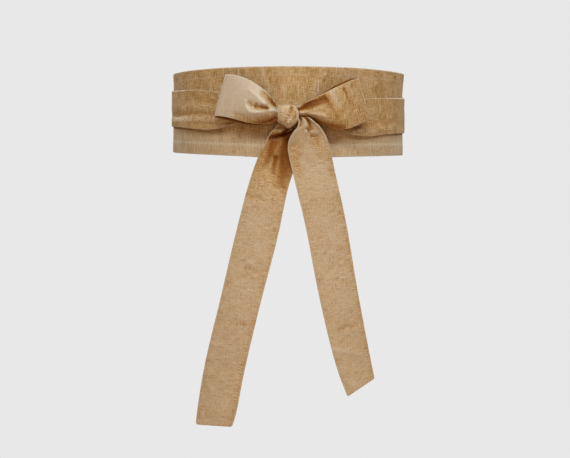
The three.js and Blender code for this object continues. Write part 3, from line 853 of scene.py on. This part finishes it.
# Creases by (x, z) in millimetres, as the tails are seen from the front.
FOLDS_LEFT = [
    (6.5, 2.6, (4, -18.5), (-7, -25), (-19.5, -28.4)),
    (-3.0, 2.2, (-7, -19.5), (-16, -20.5)),
    (-3.0, 2.0, (-12, -13.5), (-18, -19.5), (-24.5, -29.5), (-31, -42)),
    (2.2, 4.0, (-14, -30), (-20, -46), (-27, -62)),
    (4.0, 7.5, (3, -30), (-2, -50), (-9, -80)),
    (2.6, 2.4, (-13.5, -50), (-15.5, -58), (-17, -68)),
    (0.8, 3, (-47, -92), (-26, -98)),
    (0.5, 3, (-47, -172), (-26, -176)),
    (-0.5, 3, (-86, -255), (-60, -262)),
    (0.4, 3.5, (-58, -232), (-44, -236)),
]
FOLDS_RIGHT = [
    (-2.6, 1.5, (12.4, -2.0), (21.7, -4.8), (27.2, -9.4), (35, -17.6), (42, -30)),
    (5.6, 2.6, (14.4, -4.4), (20.5, -7.6), (23.4, -13), (24.5, -19)),
    (-3.2, 1.5, (12, -3.6), (16.8, -7.6), (19.6, -13), (19.8, -22)),
    (5.0, 1.5, (12.4, -6.2), (14.2, -10.2), (13.4, -15.5)),
    (-2.2, 1.3, (11.0, -6.6), (11.4, -10.8), (9.4, -15)),
    (3.0, 1.4, (20.4, -18.6), (24.6, -24.6)),
    (2.2, 1.5, (25.5, -26.8), (31.2, -26.2)),
    (-0.7, 1.6, (24.8, -23.0), (32, -22.6)),
    (-1.2, 3, (6, -20), (2, -36)),
    (1.4, 4, (30, -30), (36, -50)),
    (1.2, 5, (6, -38), (12, -70)),
    (0.6, 3, (55, -186), (72, -190)),
    (0.7, 2.6, (56, -240), (80, -233)),
    (-0.6, 3, (50, -262), (86, -268)),
]

LEFT_LENGTH, RIGHT_LENGTH = 350.0, 322.0
TAIL_STEP = 0.8
TAIL_UNEVEN = dict(height=0.22, shortest=14, longest=60, lean=1.6)
UNEVEN_FROM, UNEVEN_FADE = 10.0, 20.0  # millimetres down the tail
CORNER = 2.6  # the rounding of a tail's end corners
TOP_SHADE, TAIL_SHEEN = -0.3, 0.40  # painted shade where a tail comes out from under the bow, and a painted sheen below
SHEEN_FROM_LEFT, SHEEN_FROM_RIGHT, SHEEN_FADE = 18, -70, 95  # millimetres down the tail, where the painted shade starts to give way to the painted sheen, and over how far
EDGE_SHADE = 0.34  # painted shade: how much deeper gold is painted beside a tail's edges, where the cloth rolls away
RIGHT_SHADE_WIDTH, LEFT_SHADE_WIDTH, LEFT_SHADE_SHARE = 4, 3, 0.6


def tail(name, table, folds, length, sheen_from, seed):
    """A tail, from the knot down to its end, where its corners are a little round."""
    u = stations(length, TAIL_STEP)[:, None]
    v = stations(TIE_WIDTH, TAIL_STEP)[None, :]
    down, over = u * length, v * TIE_WIDTH
    round_end = np.clip((down - length) / CORNER + 1, 0, 1)
    inset = 2 * CORNER / TIE_WIDTH * (1 - np.sqrt(1 - round_end**2))
    to_right = 0.5 + (v - 0.5) * (1 - inset)
    x = mix(table["left_x"](u), table["right_x"](u), to_right)
    z = mix(table["left_z"](u), table["right_z"](u), to_right)
    soft = uneven(seed, down, over, **TAIL_UNEVEN) * ease((down - UNEVEN_FROM) / UNEVEN_FADE)
    pressed = creased(folds, x, z)
    middle = on_front(x, z, table["out"](u) + soft - pressed)[:, ::-1]

    # Painted light: shade near the knot and beside the edges, sheen lower down, and painted shade in
    # the creases.
    sheen_and_shade = mix(TOP_SHADE, TAIL_SHEEN, ease((down - sheen_from) / SHEEN_FADE))
    right_shade = np.exp(-((1 - v) * TIE_WIDTH / RIGHT_SHADE_WIDTH))
    left_shade = LEFT_SHADE_SHARE * np.exp(-v * TIE_WIDTH / LEFT_SHADE_WIDTH)
    sheen_and_shade = sheen_and_shade - EDGE_SHADE * (right_shade + left_shade)
    painted_light = (sheen_and_shade - pressed / FOLD_DEPTH)[:, ::-1]
    return sheet_of(name, middle, TIE_WALL, arc_length(middle), over.ravel(), painted_light)


left_tail = tail("tail_left_silk", TAIL_LEFT, FOLDS_LEFT, LEFT_LENGTH, SHEEN_FROM_LEFT, seed=31)
right_tail = tail(
    "tail_right_silk", TAIL_RIGHT, FOLDS_RIGHT, RIGHT_LENGTH, SHEEN_FROM_RIGHT, seed=32
)
for hanging, node, length in (
    (left_tail, "tail_left", LEFT_LENGTH),
    (right_tail, "tail_right", RIGHT_LENGTH),
):
    dress(hanging, TIE_SILK, node)

# %% [markdown]
# ## The knot
# The knot is the tie itself, wrapped once round the necks of the loops. Its left half is drawn
# smooth, and on the right the cloth is gathered into narrow pleats that slant down to the left.
# It is a short barrel, open at both ends, where the loops and the right tail come out. The turns
# of cloth inside it are never seen, so they are left out.

# %% The knot
# at is the share of the knot's width, and back and front are distances off the figure.
KNOT = curves(
    "at x top bottom back front",
    [
        (0, -11.4, 7.8, -11.8, 7.8, 23.2),
        (0.3, -5, 8.2, -14.4, 7, 25),
        (0.65, 3, 8.8, -18.4, 7, 25.4),
        (1, 11.6, 7.2, -13.6, 7.8, 23.6),
    ],
)
KNOT_RIM_CURVE = 3.4  # how far the right-hand rim is rounded back above and below
KNOT_SQUARENESS = 0.72  # 1 is round, and less is squarer
KNOT_ROUND = 74.0
KNOT_ACROSS = 23.0
KNOT_STEP = 0.5
KNOT_HALF_HEIGHT = 12.5
# a painted sheen over all of the knot
KNOT_SHEEN = 0.30
KNOT_SHADE = 1.4  # the painted shade in its narrow pleats is stronger than in broad folds
PLEATS_FROM, PLEATS_FADE = -0.6, 0.8  # how far forward the pleats start, from -1 behind to 1

# Creases by (millimetres from the knot's left end, millimetres down from its middle).
KNOT_CREASES = [
    (2.0, 0.8, (16.4, -8), (14.6, -4.8), (12.4, -1.6)),
    (-0.8, 1.0, (14.2, -9), (12, -4.4)),
    (1.5, 0.8, (16.8, -12), (18.6, -4.5), (17.2, 3), (11.6, 9.6)),
    (-1.0, 1.0, (18.2, -12), (20, -4), (19, 4), (15.4, 10.4)),
    (1.2, 0.8, (20.4, -2), (18.6, 5), (14.8, 11.4)),
    (-0.6, 1.1, (13, 3), (9, 10.5)),
    (0.9, 0.9, (10.4, 3), (8.8, 10)),
    (0.3, 2.0, (5, -10), (4, 8)),
]


def squared(wave):
    """A sine or cosine made fuller, so that the knot is between round and square."""
    return np.sign(wave) * np.abs(wave) ** KNOT_SQUARENESS


def knot_wrap():
    """The wrap of the knot, which goes round the necks of the loops and meets itself."""
    turns = int(KNOT_ROUND / KNOT_STEP)
    u = (np.arange(turns) / turns)[:, None]
    v = stations(KNOT_ACROSS, KNOT_STEP)[None, :]
    angle = 2 * np.pi * u
    up, forward = squared(np.sin(angle)), squared(np.cos(angle))
    rim = KNOT_RIM_CURVE * up**2 * ease(v)
    half_wall = KNOT_WALL / 2
    z = mix(KNOT["bottom"](v) + half_wall, KNOT["top"](v) - half_wall, (1 + up) / 2)
    out = mix(KNOT["back"](v) + half_wall, KNOT["front"](v) - half_wall, (1 + forward) / 2)
    middle = on_front(KNOT["x"](v) - rim, z, out)
    along, across = u.ravel() * KNOT_ROUND, (v * KNOT_ACROSS).ravel()
    pleats = creased(KNOT_CREASES, v * KNOT_ACROSS, -up * KNOT_HALF_HEIGHT)
    lift = -pleats * ease((forward - PLEATS_FROM) / PLEATS_FADE)
    middle = raised(middle, lift, looped=True)
    # Painted light: the knot's painted sheen less painted shade in its pleats.
    painted_light = KNOT_SHEEN + lift / FOLD_DEPTH * KNOT_SHADE
    return sheet_of("knot_wrap_silk", middle, KNOT_WALL, along, across, painted_light, looped=True)


knot = knot_wrap()
dress(knot, TIE_SILK, "knot_wrap")

# %% [markdown]
# ## The studio
# The belt keeps the shape of a wearer who is not there, so it hangs over a plain pale floor, in
# front of an even pale backdrop. The backdrop could be a curved sheet of paper, but the world's
# own colour is as plain and has no edges. It lights the belt only a little and warmly, as if by
# light that has already met the cloth.

# %% Floor and backdrop
FLOOR = -1.4  # metres, as all of the studio
FLOOR_RADIUS = 2.0
FLOOR_CORNERS = 96
PAPER = (0.82, 0.75, 0.66, 1)
PAPER_ROUGHNESS = 0.9
SEEN_BACKDROP = 0.685
LIGHT_ALL_ROUND = 0.10
WARM = (1, 0.58, 0.30)


def floor():
    """A pale round floor, far below the tails."""
    turns = np.linspace(0, 2 * np.pi, FLOOR_CORNERS, endpoint=False)
    points = [(FLOOR_RADIUS * np.cos(a), FLOOR_RADIUS * np.sin(a), FLOOR) for a in turns]
    mesh = bpy.data.meshes.new("floor")
    mesh.from_pydata(points, [], [list(range(len(points)))])
    paper = bpy.data.materials.new("floor paper")
    paper.use_nodes = True
    shader = paper.node_tree.nodes["Principled BSDF"]
    shader.inputs["Base Color"].default_value = PAPER
    shader.inputs["Roughness"].default_value = PAPER_ROUGHNESS
    mesh.materials.append(paper)
    made = bpy.data.objects.new("floor", mesh)
    bpy.context.scene.collection.objects.link(made)


def surroundings():
    """An even pale backdrop where the camera looks past the belt, which lights it only a little."""
    world = bpy.data.worlds.new("studio")
    world.use_nodes = True
    tree = world.node_tree
    start = Wire(tree, None)
    seen = start.node("ShaderNodeLightPath", out="Is Camera Ray")
    background = tree.nodes["Background"]
    all_round = [LIGHT_ALL_ROUND * part for part in WARM]
    colour = seen.blend((*all_round, 1), (SEEN_BACKDROP, SEEN_BACKDROP, SEEN_BACKDROP, 1))
    tree.links.new(colour.socket, background.inputs["Color"])
    bpy.context.scene.world = world


floor()
surroundings()
print(f"floor {FLOOR_RADIUS} m in radius, {-FLOOR} m below the waist")

# %% [markdown]
# ## The lights
# Soft lights make soft folds, and here each is a large pane. Two stand high in front, left and
# right, and a third above the camera, in daylight, so that every fold has a bright and a dark
# side. One small lamp would draw the folds more sharply, but with hard shadows beside the bow.
# A warm one straight in front and a warm low one fill the shadows, and two behind light the back.

# %% Lights
DAYLIGHT = (0.94, 0.97, 1)
WARM_LAMP = (1, 0.66, 0.42)
LOW_LAMP = (1, 0.64, 0.38)
WHITE_LAMP = (1, 1, 1)
LIGHT_SPREAD = np.radians(150)
BELT_MIDDLE = (0, 0, -0.1)


def aim(thing, place, target):
    """Puts a lamp or a camera at a place, looking at the target."""
    thing.location = place
    thing.rotation_euler = (Vector(target) - Vector(place)).to_track_quat("-Z", "Y").to_euler()


def soft_light(name, place, size, power, colour):
    """A large soft lamp, so wide and so tall, that looks at the belt."""
    lamp = bpy.data.lights.new(name, "AREA")
    lamp.shape, lamp.size, lamp.size_y = "RECTANGLE", *size
    lamp.energy, lamp.color = power, colour
    lamp.spread = LIGHT_SPREAD
    light = bpy.data.objects.new(name, lamp)
    bpy.context.scene.collection.objects.link(light)
    aim(light, place, BELT_MIDDLE)
    print(f"{name}: {power} W")


soft_light("key on the left", (-1.8, -1.45, 1.8), (0.7, 0.8), 13, DAYLIGHT)
soft_light("key on the right", (1.8, -1.45, 1.8), (0.7, 0.8), 18, DAYLIGHT)
soft_light("key above", (0.05, -2.0, 2.1), (1.1, 0.5), 23, DAYLIGHT)
soft_light("warm fill", (0, -4.0, 0.1), (1.6, 1.0), 16, WARM_LAMP)
soft_light("low fill", (0, -2.6, -1.3), (1.6, 0.8), 6, LOW_LAMP)
for side in (-1, 1):
    soft_light("behind", (side * 1.7, 2.0, 1.3), (1.2, 1.2), 26, WHITE_LAMP)

bpy.context.scene.view_settings.view_transform = "Standard"
bpy.context.scene.view_settings.look = "Medium High Contrast"

# %% [markdown]
# ## The camera
# It is level, straight in front and far away, with a long lens, so that the belt is seen in its
# true outline. A near camera would make the bow look too big for the waist.

# %% Camera
PICTURE_WIDTH = 570
MM_PER_PIXEL = 1.1  # on the plane of the bow
SENSOR = 36
CAMERA_AWAY = 3.5
CAMERA_X, CAMERA_HEIGHT, BOW_PLANE = -0.0035, -0.1287, -0.105
camera_data = bpy.data.cameras.new("camera")
camera_data.sensor_width = SENSOR
camera_data.lens = CAMERA_AWAY * SENSOR / (PICTURE_WIDTH * MM_PER_PIXEL * MM)
camera = bpy.data.objects.new("camera", camera_data)
bpy.context.scene.collection.objects.link(camera)
camera_place = (CAMERA_X, BOW_PLANE - CAMERA_AWAY, CAMERA_HEIGHT)
aim(camera, camera_place, (CAMERA_X, 0, CAMERA_HEIGHT))
bpy.context.scene.camera = camera
print(f"lens {camera_data.lens:.0f} mm")

# %% [markdown]
# ## The belt's size
# Silk may stand a little proud of the plain model, but not by much.
